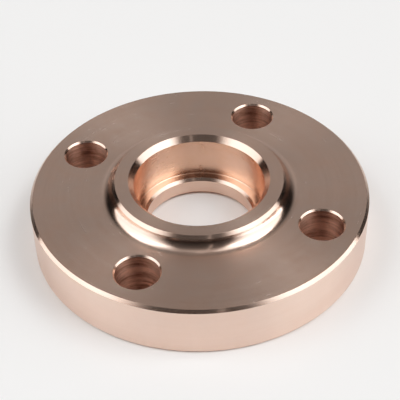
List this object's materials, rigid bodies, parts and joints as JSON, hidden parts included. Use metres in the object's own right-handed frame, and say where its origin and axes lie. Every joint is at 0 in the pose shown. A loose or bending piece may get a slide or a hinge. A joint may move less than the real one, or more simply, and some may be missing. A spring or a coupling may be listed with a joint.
{
  "type": "socket weld flange",
  "caption": "Round pipe flange with a short hub, a chamfered socket for the pipe end, a stepped through bore and bolt holes around the hub.",
  "frame": {"origin": "centre of the flat joint face, on the bore's axis", "axes": "+Z along the bore's axis, from the joint face towards the socket's mouth; X and Y lie midway between neighbouring bolt holes"},
  "size_m": [0.127, 0.127, 0.0254],
  "materials": {
    "copper_nickel": "fine-turned satin metal"
  },
  "bodies": {
    "root": {"flange": "copper_nickel"}
  },
  "joints": []
}
